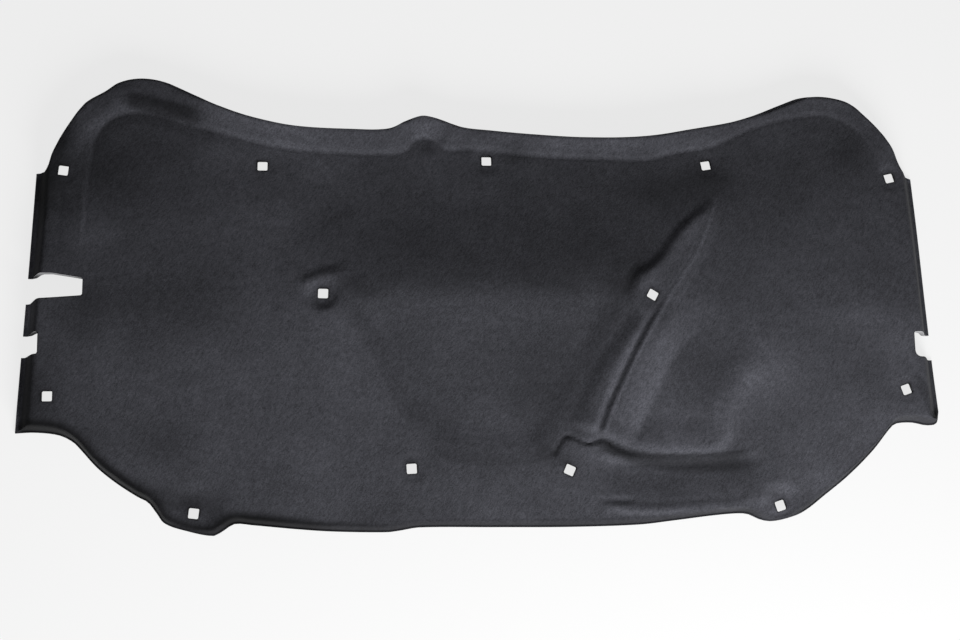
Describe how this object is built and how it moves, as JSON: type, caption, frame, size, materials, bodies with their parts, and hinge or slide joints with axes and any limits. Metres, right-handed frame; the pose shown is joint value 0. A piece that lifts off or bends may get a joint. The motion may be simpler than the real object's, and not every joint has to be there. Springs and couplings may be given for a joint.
{
  "type": "engine sound insulation pad",
  "caption": "Engine sound insulation pad for a car bonnet: one black felt moulding with pressed edges, side notches, square clip holes and a diagonal stiffening ridge",
  "frame": {"origin": "centre of the overall box in plan, at the level of the pressed edge's underside, which is the surface that the pad rests on", "axes": "+X along the pad's length, to the right of the picture; +Y towards the windscreen edge with its two rounded ears; +Z out of the engine side, upwards as the pad lies"},
  "size_m": [1.313, 0.6642, 0.0489],
  "materials": {
    "felt": "matt"
  },
  "bodies": {
    "root": {"insulation_pad": "felt"}
  },
  "joints": []
}
